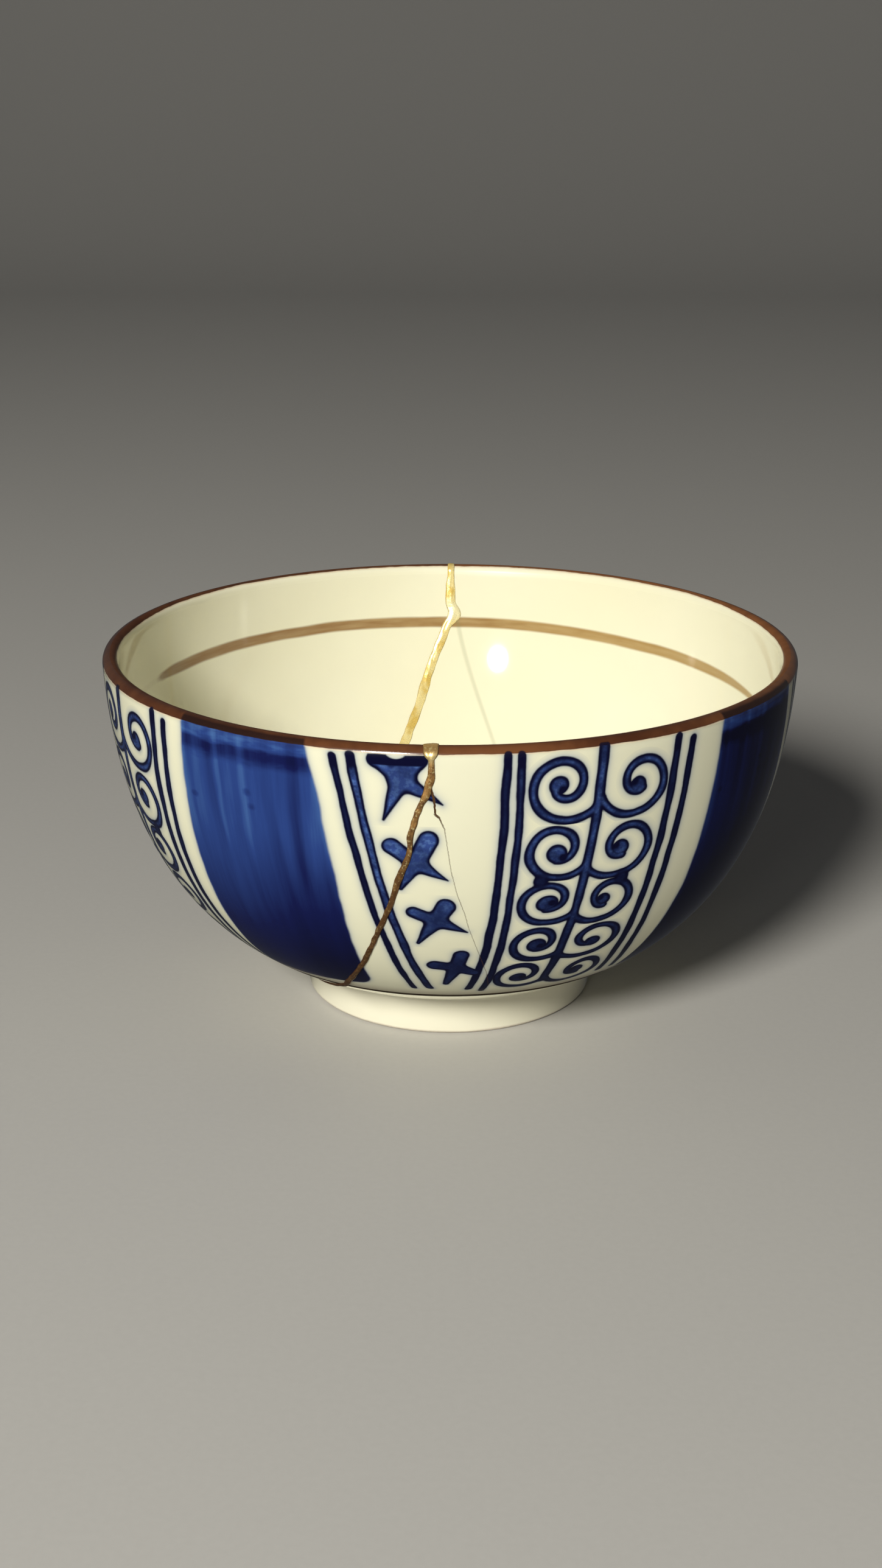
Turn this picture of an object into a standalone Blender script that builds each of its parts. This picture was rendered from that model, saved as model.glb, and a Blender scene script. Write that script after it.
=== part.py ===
# Kintsugi rice bowl: a thin porcelain bowl that broke once, from rim to rim, and was
# mended with gilt lacquer. It has three pieces: the two shards, and the seam of
# lacquer that fills the break between them and stands a little proud of the glaze.
#
# Metres, +Z up. The origin is the centre of the foot ring's underside.
# A bearing is an angle in degrees round the bowl: 0 is the front (-Y), -90 the left
# (-X) and -180 the back. A depth is the distance down the outer wall's curve from
# the middle of the lip. An outline point is a radius and a height.

import bisect
import math

import bmesh
import bpy
from mathutils import Vector

MM = 0.001

# Lip and wall
RIM_RADIUS = 60.0 * MM
BOWL_HEIGHT = 63.0 * MM
LIP_RADIUS = 1.35 * MM                                  # the lip is a half round
UPPER_HANDLE = Vector((58.8 * MM, 38.4 * MM))           # the two handles that bend
LOWER_HANDLE = Vector((51.3 * MM, 14.7 * MM))           # the outer wall's curve
WALL_END = Vector((25.0 * MM, 6.85 * MM))               # where the foot takes over
THICKNESS_AT_FOOT = 4.8 * MM
FLOOR_HEIGHT = 9.0 * MM                                 # inside, at the centre

# Foot ring
FOOT_RADIUS = 25.4 * MM
FOOT_FLARE = 0.5 * MM                                   # how far it widens downwards
FOOT_FILLET = 1.6 * MM                                  # where wall and foot meet
FOOT_EDGE_ROUND = 0.7 * MM
FOOT_RING_WIDTH = 3.5 * MM
RECESS_DEPTH = 4.9 * MM                                 # the hollow inside the ring
RECESS_CROWN = 0.3 * MM
RECESS_FILLET = 1.2 * MM

# Break and seam
SEAM_WIDTH = 1.2 * MM
SEAM_CREST = 0.7 * MM                                   # flat top of the raised bead
SEAM_PROUD = 0.4 * MM
JOINT_GAP = 0.3 * MM                                    # between seam and shards
STATION_STEP = 3.6 * MM                                 # along the break
LIP_ANGLES = (25, 50, 75)                               # the bead's steps over the lip

# The break's wander, as bearing and depth: down the front, under the left of the
# foot ring without crossing it, and up the back.
BREAK = [
    (-2.7, 0.0), (-2.6, 2.5), (-3.1, 4.7), (-4.6, 8.8), (-5.8, 13.0),
    (-6.0, 16.0), (-7.8, 21.3), (-9.0, 25.2), (-11.5, 31.2), (-15.6, 39.9),
    (-18.6, 44.5), (-22.5, 49.9), (-27.5, 55.0), (-39.0, 60.8), (-58.0, 64.4),
    (-84.0, 65.4), (-108.0, 64.2), (-128.0, 60.5), (-145.0, 54.0),
    (-157.0, 46.5), (-165.5, 40.0), (-171.0, 32.2), (-174.1, 25.2),
    (-176.4, 18.2), (-179.1, 11.5), (-180.6, 8.6), (-180.0, 5.7), (-180.2, 0.0),
]

# Fineness of the faceted surfaces
SEGMENTS = 72
WALL_STEPS = 13
FLOOR_STEPS = 3
LIP_STEPS = 6
FILLET_STEPS = 3
CURVE_SAMPLES = 800


def bezier(t):
    """A point of the outer wall's curve, from the lip at 0 to the foot at 1."""
    start = Vector((RIM_RADIUS, BOWL_HEIGHT - LIP_RADIUS))
    s = 1 - t
    upper = UPPER_HANDLE * (3 * s * s * t)
    lower = LOWER_HANDLE * (3 * s * t * t)
    return start * s ** 3 + upper + lower + WALL_END * t ** 3


def wall_curve():
    """Close samples of the outer wall's curve and the depth of each."""
    points = [bezier(i / CURVE_SAMPLES) for i in range(CURVE_SAMPLES + 1)]
    depths = [0.0]
    for above, below in zip(points, points[1:]):
        depths.append(depths[-1] + (below - above).length)
    return points, depths


CURVE_POINTS, CURVE_DEPTHS = wall_curve()
WALL_LENGTH = CURVE_DEPTHS[-1]


def thickness(depth):
    """The wall is even for most of its height and swells towards the foot."""
    swell = (depth / WALL_LENGTH) ** 3
    return 2 * LIP_RADIUS + (THICKNESS_AT_FOOT - 2 * LIP_RADIUS) * swell


def wall_at(depth):
    """The outline points of both faces at a depth, and the outward normal."""
    i = bisect.bisect_right(CURVE_DEPTHS, depth)
    i = min(max(i, 1), CURVE_SAMPLES)
    above = CURVE_POINTS[i - 1]
    below = CURVE_POINTS[i]
    share = (depth - CURVE_DEPTHS[i - 1]) / (CURVE_DEPTHS[i] - CURVE_DEPTHS[i - 1])
    outside = above.lerp(below, share)
    down = (below - above).normalized()
    outward = Vector((-down.y, down.x))
    inside = outside - outward * thickness(depth)
    return outside, inside, outward


def arc(centre, radius, start, end, steps):
    """Points of an arc, with its angles in degrees from the outward direction."""
    points = []
    for i in range(steps + 1):
        angle = math.radians(start + (end - start) * i / steps)
        points.append(centre + Vector((math.cos(angle), math.sin(angle))) * radius)
    return points


def inner_outline():
    """The floor from its centre outwards, then the inside of the wall upwards."""
    corner = wall_at(WALL_LENGTH)[1]
    points = []
    for i in range(FLOOR_STEPS):
        share = i / FLOOR_STEPS
        rise = (corner.y - FLOOR_HEIGHT) * share ** 2
        points.append(Vector((corner.x * share, FLOOR_HEIGHT + rise)))
    for i in range(WALL_STEPS):
        points.append(wall_at(WALL_LENGTH * (1 - i / WALL_STEPS))[1])
    return points


def lip_outline():
    """The half round over the lip, from the inside to the outside."""
    outside, _, outward = wall_at(0)
    lean = math.degrees(math.atan2(outward.y, outward.x))
    centre = outside - outward * LIP_RADIUS
    return arc(centre, LIP_RADIUS, lean + 180, lean, LIP_STEPS)


def outer_outline():
    """The outside of the wall downwards, to where the foot's fillet begins."""
    points = []
    for i in range(1, WALL_STEPS + 1):
        point = wall_at(WALL_LENGTH * i / WALL_STEPS)[0]
        if point.x > FOOT_RADIUS + FOOT_FILLET:
            points.append(point)
    return points


def foot_outline():
    """The fillet under the wall, the ring, and the recess up to its centre."""
    neck = FOOT_RADIUS - FOOT_FLARE
    slope = math.atan2(LOWER_HANDLE.y - WALL_END.y, LOWER_HANDLE.x - WALL_END.x)
    wall_height = WALL_END.y + (neck + FOOT_FILLET - WALL_END.x) * math.tan(slope)
    fillet_height = wall_height - FOOT_FILLET / math.cos(slope)
    fillet = Vector((neck + FOOT_FILLET, fillet_height))
    edge = FOOT_EDGE_ROUND
    outer_edge = Vector((FOOT_RADIUS - edge, edge))
    inner_radius = FOOT_RADIUS - FOOT_RING_WIDTH
    inner_edge = Vector((inner_radius + edge, edge))
    recess_radius = inner_radius - FOOT_FLARE
    recess = Vector((recess_radius - RECESS_FILLET, RECESS_DEPTH - RECESS_FILLET))
    points = arc(fillet, FOOT_FILLET, 90 + math.degrees(slope), 180, FILLET_STEPS)
    points += arc(outer_edge, edge, 0, -90, 2)
    points += arc(inner_edge, edge, -90, -180, 2)
    points += arc(recess, RECESS_FILLET, 0, 90, 2)
    points.append(Vector((0.0, RECESS_DEPTH + RECESS_CROWN)))
    return points


def add_faces(mesh, near, far):
    """Join two closed rings of vertices, either of which may be a single point."""
    count = max(len(near), len(far))
    for i in range(count):
        j = (i + 1) % count
        corners = [near[i % len(near)], near[j % len(near)]]
        corners += [far[j % len(far)], far[i % len(far)]]
        mesh.faces.new(list(dict.fromkeys(corners)))


def finish_mesh(mesh, name):
    """Turn the faces outwards and make the object."""
    bmesh.ops.recalc_face_normals(mesh, faces=mesh.faces)
    data = bpy.data.meshes.new(name)
    mesh.to_mesh(data)
    mesh.free()
    thing = bpy.data.objects.new(name, data)
    bpy.context.scene.collection.objects.link(thing)
    return thing


def turned_bowl():
    """The unbroken bowl, turned from its outline."""
    outline = inner_outline() + lip_outline() + outer_outline() + foot_outline()
    mesh = bmesh.new()
    rings = []
    for point in outline:
        count = 1 if point.x < MM else SEGMENTS
        ring = []
        for i in range(count):
            angle = math.tau * i / SEGMENTS
            x = point.x * math.sin(angle)
            y = -point.x * math.cos(angle)
            ring.append(mesh.verts.new((x, y, point.y)))
        rings.append(ring)
    for near, far in zip(rings, rings[1:]):
        add_faces(mesh, near, far)
    return finish_mesh(mesh, "bowl")


def swing(point, bearing):
    """An outline point or direction, swung round the bowl to a bearing."""
    angle = math.radians(bearing)
    return Vector((point.x * math.sin(angle), -point.x * math.cos(angle), point.y))


def catmull(a, b, c, d, t):
    """A smooth value between b and c."""
    bend = 2 * a - 5 * b + 4 * c - d
    twist = 3 * b - a - 3 * c + d
    return 0.5 * (2 * b + (c - a) * t + bend * t * t + twist * t ** 3)


def break_stations():
    """Bearings and depths at even steps along the smoothed break."""
    ends = [BREAK[0]] + BREAK + [BREAK[-1]]
    stations = []
    for before, start, end, after in zip(ends, ends[1:], ends[2:], ends[3:]):
        here = swing(wall_at(start[1] * MM)[0], start[0])
        there = swing(wall_at(end[1] * MM)[0], end[0])
        steps = max(1, round((there - here).length / STATION_STEP))
        for i in range(steps):
            t = i / steps
            bearing = catmull(before[0], start[0], end[0], after[0], t)
            depth = catmull(before[1], start[1], end[1], after[1], t)
            stations.append((bearing, max(depth, 0.0) * MM))
    stations.append((BREAK[-1][0], BREAK[-1][1] * MM))
    return stations


def break_frames():
    """At each station: the outside, the inside, the outward and the sideways way."""
    places = []
    for bearing, depth in break_stations():
        outside, inside, outward = wall_at(depth)
        places.append([swing(part, bearing) for part in (outside, inside, outward)])
    frames = []
    for i, (outside, inside, outward) in enumerate(places):
        before = places[max(i - 1, 0)][0]
        after = places[min(i + 1, len(places) - 1)][0]
        sideways = outward.cross(after - before).normalized()
        frames.append((outside, inside, outward, sideways))
    return frames


def loft(name, rings):
    """A closed body through rings of equal count, with flat strips for its ends."""
    mesh = bmesh.new()
    rings = [[mesh.verts.new(point) for point in ring] for ring in rings]
    for near, far in zip(rings, rings[1:]):
        add_faces(mesh, near, far)
    for ring in (rings[0], rings[-1]):
        count = len(ring)
        for i in range(count // 2 - 1):
            mesh.faces.new((ring[i], ring[i + 1], ring[count - 2 - i], ring[count - 1 - i]))
    return finish_mesh(mesh, name)


def bead_ring(outside, inside, outward_way, inward_way, sideways):
    """The seam's section: a web as wide as the bead's feet, crested on both faces."""
    half = sideways * (SEAM_WIDTH / 2)
    crest = sideways * (SEAM_CREST / 2)
    high = outside + outward_way * SEAM_PROUD
    deep = inside + inward_way * SEAM_PROUD
    outer = [outside - half, high - crest, high + crest, outside + half]
    inner = [inside + half, deep + crest, deep - crest, inside - half]
    return outer + inner


def lip_rings(frame):
    """The seam's rings over the lip, from an end of the break to the lip's top."""
    outside, inside, outward, sideways = frame
    middle = outside.lerp(inside, 0.5)
    upward = Vector((0.0, 0.0, 1.0))
    rings = []
    for degrees in LIP_ANGLES:
        angle = math.radians(degrees)
        rise = upward * math.sin(angle)
        out_way = outward * math.cos(angle) + rise
        in_way = rise - outward * math.cos(angle)
        outer = middle + out_way * LIP_RADIUS
        inner = middle + in_way * LIP_RADIUS
        rings.append(bead_ring(outer, inner, out_way, in_way, sideways))
    return rings


def gold_seam(frames):
    """The lacquer that fills the break, from lip to lip."""
    rings = lip_rings(frames[0])[::-1]
    for outside, inside, outward, sideways in frames:
        rings.append(bead_ring(outside, inside, outward, -outward, sideways))
    rings += lip_rings(frames[-1])
    return loft("gold_seam", rings)


def break_cutter(frames):
    """The slot that parts the shards: the seam's web with a gap on both sides."""
    reach = 3 * MM
    lift = Vector((0.0, 0.0, LIP_RADIUS + reach))
    slot = SEAM_WIDTH / 2 + JOINT_GAP
    rings = []
    for outside, inside, outward, sideways in frames:
        half = sideways * slot
        near = outside + outward * reach
        far = inside - outward * reach
        rings.append([near - half, near + half, far + half, far - half])
    first = [corner + lift for corner in rings[0]]
    last = [corner + lift for corner in rings[-1]]
    cutter = loft("break_cutter", [first] + rings + [last])
    cutter.hide_render = True
    cutter.display_type = "WIRE"
    return cutter


def connected(vertex):
    """All the vertices that share a body with this one."""
    found = {vertex}
    waiting = [vertex]
    while waiting:
        for edge in waiting.pop().link_edges:
            for end in edge.verts:
                if end not in found:
                    found.add(end)
                    waiting.append(end)
    return found


def one_shard(whole, name, on_left):
    """One of the two bodies of the broken bowl: the left one holds the lowest X."""
    mesh = bmesh.new()
    mesh.from_mesh(whole)
    leftmost = min(mesh.verts, key=lambda vertex: vertex.co.x)
    left = connected(leftmost)
    others = [vertex for vertex in mesh.verts if (vertex in left) != on_left]
    bmesh.ops.delete(mesh, geom=others, context="VERTS")
    return finish_mesh(mesh, name)


def break_bowl(frames):
    """Cut the bowl along the break and return its two shards."""
    bowl = turned_bowl()
    cutter = break_cutter(frames)
    cut = bowl.modifiers.new("break", "BOOLEAN")
    cut.operation = "DIFFERENCE"
    cut.solver = "EXACT"
    cut.object = cutter
    view = bpy.context.evaluated_depsgraph_get()
    broken = bpy.data.meshes.new_from_object(bowl.evaluated_get(view))
    shards = [one_shard(broken, "left_shard", True)]
    shards.append(one_shard(broken, "right_shard", False))
    for done in (bowl, cutter):
        bpy.data.objects.remove(done)
    return shards


def coat(thing, colour, metallic, roughness):
    """Give a piece its own material and smooth shading between its sharp edges."""
    material = bpy.data.materials.new(thing.name + "_finish")
    material.use_nodes = True
    shader = material.node_tree.nodes["Principled BSDF"]
    shader.inputs["Base Color"].default_value = (*colour, 1.0)
    shader.inputs["Metallic"].default_value = metallic
    shader.inputs["Roughness"].default_value = roughness
    thing.data.materials.clear()
    thing.data.materials.append(material)
    thing.data.shade_smooth()
    thing.data.set_sharp_from_angle(angle=math.radians(35))


def build():
    """Model the bowl in an empty scene."""
    for old in list(bpy.data.objects):
        bpy.data.objects.remove(old)
    frames = break_frames()
    for shard in break_bowl(frames):
        coat(shard, (0.84, 0.80, 0.66), 0.0, 0.12)
    coat(gold_seam(frames), (0.62, 0.40, 0.14), 1.0, 0.35)


build()
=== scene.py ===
import math
from functools import reduce

import bmesh
import bpy
import numpy as np
from mathutils import Matrix, Vector, noise
from mathutils.geometry import delaunay_2d_cdt


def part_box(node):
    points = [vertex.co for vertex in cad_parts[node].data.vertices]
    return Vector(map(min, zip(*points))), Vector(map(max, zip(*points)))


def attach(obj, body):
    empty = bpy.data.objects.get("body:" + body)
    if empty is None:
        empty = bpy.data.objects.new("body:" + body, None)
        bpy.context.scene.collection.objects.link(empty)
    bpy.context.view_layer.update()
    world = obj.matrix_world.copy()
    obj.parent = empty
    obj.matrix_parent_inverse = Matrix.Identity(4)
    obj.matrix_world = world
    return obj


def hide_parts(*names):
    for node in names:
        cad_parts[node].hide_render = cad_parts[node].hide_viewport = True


# A mended porcelain rice bowl: two glazed shards, and the gilt seam that joins them.
# Metres, +Z up, the foot on the floor. A bearing is in degrees round the bowl: 0 is the
# front, 90 the right, -90 the left. A drop is the way down the outside wall, measured
# in the same degrees as the bearings there, so that a painted circle stays round.
# An outline point is a radius and a height.

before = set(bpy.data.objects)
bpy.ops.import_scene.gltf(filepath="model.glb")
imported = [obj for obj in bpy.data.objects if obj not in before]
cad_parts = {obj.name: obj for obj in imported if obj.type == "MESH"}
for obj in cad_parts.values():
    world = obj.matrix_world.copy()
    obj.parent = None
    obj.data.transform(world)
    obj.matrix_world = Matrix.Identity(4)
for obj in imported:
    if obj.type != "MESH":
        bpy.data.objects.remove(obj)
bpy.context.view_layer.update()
scene = bpy.context.scene
mm = 0.001
print("frame loaded:", ", ".join(sorted(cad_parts)))

# The bowl's outline

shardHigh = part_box("right_shard")[1]
rimRadius = shardHigh.x
rimHeight = shardHigh.z

bowlShape = {
    "lipRadius": 1.35 * mm,
    "upperHandle": (0.98, 0.6095),  # shares of the rim's radius and height
    "lowerHandle": (0.855, 0.2333),
    "wallEnd": (0.4167, 0.1087),
    "thicknessAtFoot": 4.8 * mm,
    "floorHeight": 9.0 * mm,  # inside, at the centre
    "gridStep": 1.2,  # degrees between vertices
    "lipSteps": 12,
    "floorSteps": 14,
    "clearance": 0.45,  # share of a grid step kept free along an outline
    "lowestTriangle": 81.6,  # the drop where rings take over
    "ringStep": 0.8,  # degrees of drop from there on
    "weldReach": 0.002 * mm,
    "sharpAngle": 40,
}

footShape = {
    "radius": 25.4 * mm,
    "flare": 0.5 * mm,
    "fillet": 1.6 * mm,
    "edge": 0.7 * mm,
    "ringWidth": 3.5 * mm,
    "recessDepth": 4.9 * mm,
    "recessCrown": 0.3 * mm,
    "recessFillet": 1.2 * mm,
    "roundSteps": 6,
    "filletSteps": 8,
    "crownSteps": 8,
}


def unit(vectors):
    return vectors / np.linalg.norm(vectors, axis=1)[:, None]


def totals(steps):
    # running sums, from 0
    return np.concatenate(([0], np.cumsum(steps)))


def columnsAt(places, known, table):
    # a table's columns read off between its rows
    return np.stack([np.interp(places, known, column) for column in table.T], -1)


def measureWall():
    # close samples down the wall: depth, drop, both faces and the outward normal
    shape = bowlShape
    size = np.array((rimRadius, rimHeight))
    start = np.array((rimRadius, rimHeight - shape["lipRadius"]))
    upper, lower, end = (size * shape[key] for key in ("upperHandle", "lowerHandle", "wallEnd"))
    t = np.linspace(0, 1, 4001)[:, None]
    s = 1 - t
    outside = start * s ** 3 + upper * 3 * s ** 2 * t + lower * 3 * s * t ** 2 + end * t ** 3
    lengths = np.hypot(*np.diff(outside, axis=0).T)
    middles = (outside[1:, 0] + outside[:-1, 0]) / 2
    depth = totals(lengths)
    drop = np.degrees(totals(lengths / middles))
    down = unit(np.gradient(outside, axis=0))
    outward = np.stack((-down[:, 1], down[:, 0]), 1)
    thin = 2 * shape["lipRadius"]
    thick = thin + (shape["thicknessAtFoot"] - thin) * (depth / depth[-1]) ** 3
    inside = outside - outward * thick[:, None]
    return {"depth": depth, "drop": drop, "outside": outside, "inside": inside, "outward": outward}


wall = measureWall()


def wallAt(drops):
    # outside and inside outline points and outward normals at these drops
    return [columnsAt(drops, wall["drop"], wall[key]) for key in ("outside", "inside", "outward")]


def swing(outline, bearings):
    # outline points or directions turned round the bowl to their bearings
    angle = np.radians(bearings)
    outline = np.asarray(outline)
    return np.stack((outline[..., 0] * np.sin(angle), -outline[..., 0] * np.cos(angle),
                     outline[..., 1] + 0 * angle), -1)


def arc(centre, radius, start, end, steps):
    angles = np.radians(np.linspace(start, end, steps + 1))
    return np.asarray(centre) + radius * np.stack((np.cos(angles), np.sin(angles)), 1)


# The line of the break

seamLine = {
    # bearing and depth in mm: down the front, under the left side, up the back
    "places": [
        (-2.7, 0.0), (-2.6, 3.1), (-3.1, 4.7), (-3.5, 6.3), (-4.5, 8.6), (-5.1, 10.9),
        (-5.8, 13.0), (-5.9, 15.8), (-6.6, 18.2), (-7.8, 21.3), (-8.8, 24.7), (-9.9, 27.7),
        (-11.5, 31.2), (-13.3, 35.3), (-15.6, 39.9), (-18.2, 44.2), (-22.5, 49.9),
        (-27.2, 54.9), (-39.0, 60.8), (-58.0, 64.4), (-84.0, 65.4), (-108.0, 64.2),
        (-128.0, 60.5), (-145.0, 54.0), (-157.0, 46.5), (-165.5, 40.0), (-169.0, 35.9),
        (-171.0, 32.2), (-172.6, 29.0), (-174.1, 25.2), (-175.2, 21.4), (-176.4, 18.2),
        (-177.7, 15.1), (-179.1, 11.5), (-180.6, 8.6), (-180.0, 5.7), (-180.2, 0.0),
    ],
    "step": 0.45 * mm,  # between the seam's rings
    "slotHalf": 0.35 * mm,  # half the break's width
}


def smoothLine(places, steps=24):
    # a Catmull-Rom curve through places
    places = np.asarray(places, float)
    ends = np.vstack((places[:1], places, places[-1:]))
    t = np.linspace(0, 1, steps, endpoint=False)[:, None]
    pieces = []
    for a, b, c, d in zip(ends, ends[1:], ends[2:], ends[3:]):
        bend = 2 * a - 5 * b + 4 * c - d
        twist = 3 * b - a - 3 * c + d
        pieces.append(0.5 * (2 * b + (c - a) * t + bend * t ** 2 + twist * t ** 3))
    return np.vstack(pieces + [places[-1:]])


def evenSteps(line, step):
    # the same line, at even distances over the outside wall
    places = swing(wallAt(line[:, 1])[0], line[:, 0])
    travel = totals(np.linalg.norm(np.diff(places, axis=0), axis=1))
    stops = np.linspace(0, travel[-1], round(travel[-1] / step) + 1)
    return columnsAt(stops, travel, line)


def beside(line, gap):
    # the line moved sideways over the wall, towards the left shard if gap is positive
    way = unit(np.gradient(line, axis=0))
    shift = np.degrees(gap / wallAt(line[:, 1])[0][:, 0])
    moved = line + shift[:, None] * np.stack((-way[:, 1], way[:, 0]), 1)
    moved[1:-1, 1] = np.maximum(moved[1:-1, 1], 0.02)
    moved[[0, -1], 1] = 0
    return moved


breakPlaces = [(bearing, np.interp(depth * mm, wall["depth"], wall["drop"]))
               for bearing, depth in seamLine["places"]]
breakLine = evenSteps(smoothLine(breakPlaces), seamLine["step"])
print(f"break line: {len(breakLine)} stations")

# Finishes: one wrapper for shader maths


def forward(operation):
    return lambda own, other: own.math(operation, other)


def backward(operation):
    return lambda own, other: own.finish.node("Math", {"operation": operation},
                                              {0: other, 1: own})


class Val:
    # one output socket, so that shader maths reads as plain sums
    __add__ = forward("ADD")
    __sub__ = forward("SUBTRACT")
    __mul__ = forward("MULTIPLY")
    __truediv__ = forward("DIVIDE")
    __radd__ = backward("ADD")
    __rsub__ = backward("SUBTRACT")
    __rpow__ = backward("POWER")
    atLeast = forward("MAXIMUM")
    atMost = forward("MINIMUM")

    def __init__(self, finish, socket):
        self.finish = finish
        self.socket = socket

    def __neg__(self):
        return self * -1.0

    def __abs__(self):
        return self.math("ABSOLUTE")

    def math(self, operation, *others):
        return self.finish.node("Math", {"operation": operation},
                                dict(enumerate((self, *others))))

    def fade(self, start, end):
        # 0 before start and 1 past end, either way round
        return self.finish.node("MapRange", {"interpolation_type": "SMOOTHSTEP"},
                                {"Value": self, "From Min": start, "From Max": end})

    def mix(self, first, second):
        # the first colour where this is 0, the second where it is 1
        return self.finish.node("Mix", {"data_type": "RGBA"}, {0: self, 6: first, 7: second}, 2)

    def noise(self, scale, detail=2.0, output=0):
        return self.finish.node("TexNoise", {}, {"Vector": self, "Scale": scale,
                                                 "Detail": detail}, output)

    def sway(self, scale, reach, detail=2.0):
        # noise to either side of 0
        return (self.noise(scale, detail) - 0.5) * reach

    def polynomial(self, coefficients):
        total = coefficients[0]
        for coefficient in coefficients[1:]:
            total = self.math("MULTIPLY_ADD", total, coefficient)
        return total

    def curve(self, places, values, degree):
        return self.polynomial(np.polyfit(places, values, degree).tolist())

    def ramp(self, stops):
        made = self.finish.node("ValToRGB", {}, {0: self})
        elements = made.socket.node.color_ramp.elements
        while len(elements) < len(stops):
            elements.new(1.0)
        for element, (place, colour) in zip(elements, stops):
            element.position = place
            element.color = (*colour, 1.0)
        return made

    def parts(self):
        split = self.finish.node("SeparateXYZ", {}, {0: self}).socket.node
        return [Val(self.finish, output) for output in split.outputs]


def point(x, y):
    return x.finish.node("CombineXYZ", {}, {0: x, 1: y})


def distance(x, y):
    return x.math("MULTIPLY_ADD", x, y * y).math("SQRT")


def nearest(values):
    return reduce(Val.atMost, values)


def melt(values, reach):
    # the least of several distances, run together where they meet
    return reduce(lambda least, value: least.math("SMOOTH_MIN", value, reach), values)


class Finish:
    # a material whose nodes are added a call at a time
    def __init__(self, name, fixed):
        self.material = bpy.data.materials.new(name)
        self.material.use_nodes = True
        self.tree = self.material.node_tree
        self.shader = self.tree.nodes["Principled BSDF"]
        self.shader.location = (300, 300)
        self.tree.nodes["Material Output"].location = (600, 300)
        self.made = 0
        for key, value in fixed.items():
            self.shader.inputs[key].default_value = value
        # the place on the bowl; in mm its height, depth under the rim and radius; its bearing
        self.place = self.node("NewGeometry", {}, {})
        x, y, z = self.place.parts()
        self.height = z * (1 / mm)
        self.depth = (rimHeight - z) * (1 / mm)
        self.radius = distance(x, y) * (1 / mm)
        self.around = x.math("ARCTAN2", -y) * math.degrees(1)

    def node(self, kind, settings, sockets, output=0):
        made = self.tree.nodes.new("ShaderNode" + kind)
        made.location = (-200 * (1 + self.made // 12), 300 - 180 * (self.made % 12))
        made.hide = True
        self.made += 1
        for key, value in settings.items():
            setattr(made, key, value)
        for key, value in sockets.items():
            self.feed(made.inputs[key], value)
        return Val(self, made.outputs[output])

    def feed(self, socket, value):
        if isinstance(value, Val):
            self.tree.links.new(value.socket, socket)
        elif socket.type == "RGBA":
            socket.default_value = (*value, 1.0)
        else:
            socket.default_value = value

    def drive(self, socketName, value):
        self.feed(self.shader.inputs[socketName], value)

    def dress(self, colour, roughness, strength, reach, height):
        # the base colour, the roughness, and bumps of this strength and reach in mm
        self.drive("Base Color", colour)
        self.drive("Roughness", roughness)
        self.drive("Normal", self.node("Bump", {}, {
            "Strength": strength, "Distance": reach * mm, "Height": height}))
        print(f"{self.material.name}: {self.made} nodes")
        return self.material

    def cover(self, share, kind, sockets):
        # another shader laid over the glaze
        over = self.node(kind, {}, sockets)
        both = self.node("MixShader", {}, {0: share, 2: over})
        self.tree.links.new(self.shader.outputs[0], both.socket.node.inputs[1])
        self.feed(self.tree.nodes["Material Output"].inputs["Surface"], both)


def scaled(colour, share):
    return tuple(share * part for part in colour)


# Painted outside

paintColours = {
    "glaze": (0.815, 0.802, 0.606),
    "glazeCool": (0.240, 0.300, 0.400),  # where cobalt has bled into the glaze
    "navy": (0.0032, 0.0034, 0.022),
    "cobalt": (0.034, 0.068, 0.250),
    "cobaltPale": (0.075, 0.145, 0.370),
    "band": [(0.0, (0.0030, 0.0032, 0.020)), (0.3, (0.0065, 0.0100, 0.070)),
             (0.65, (0.022, 0.052, 0.215)), (1.0, (0.070, 0.165, 0.400))],
    "brown": (0.070, 0.022, 0.009),
    "brownPale": (0.160, 0.060, 0.022),
    "brownLighter": (0.270, 0.105, 0.036),
    "brownDark": (0.016, 0.007, 0.006),  # where the blue runs up under it
    "brownHalo": (0.72, 0.46, 0.28),
    "footLine": (0.024, 0.013, 0.008),
    # painted shade, laid on the glaze above the foot line:
    "footShade": (0.380, 0.290, 0.200),
    "crack": (0.080, 0.040, 0.018),
}

# The pattern is placed by bearing and drop, in degrees, and repeats four times round the
# bowl. The left repeat stands a little off the even quarter.
repeat = {"span": 90.0, "from": -47.0, "leftDrift": 2.0}

# drop and bearing down each line, then half its width, its two ends, and how pale it is
longLines = [
    ([(0, -17.2), (13.2, -14.9), (28.9, -12.2), (41.5, -9.9), (54.1, -7.6)],
     0.60, 0.6, 53.8, 0.12),
    ([(0, -14.5), (14.3, -12.1), (30.4, -9.2), (41.5, -6.75), (53.9, -4.0)],
     0.76, 0.3, 53.3, 1.0),
    ([(0, 8.38), (14.6, 7.85), (26.3, 7.45), (36.5, 6.6), (53, 4.5)],
     0.68, -0.1, 54.0, 0.12),
    ([(0, 10.45), (13.2, 10.1), (27.8, 9.95), (38, 9.0), (54, 7.6)],
     0.64, 0.0, 55.6, 0.30),
    ([(0, 35.96), (14.6, 35.0), (26.3, 34.4), (38, 34.5), (52, 35.6)],
     0.74, 0.2, 53.5, 0.14),
    ([(0.6, 39.0), (14.6, 37.85), (26.3, 37.4), (38, 37.55), (52, 39.5)],
     0.68, 1.1, 53.5, 0.12),
]

stem = ([(0, 22.93), (14.6, 22.13), (29.8, 21.22), (40.9, 20.72), (52, 20.6)],
        0.87, -0.1, 52.4)

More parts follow.
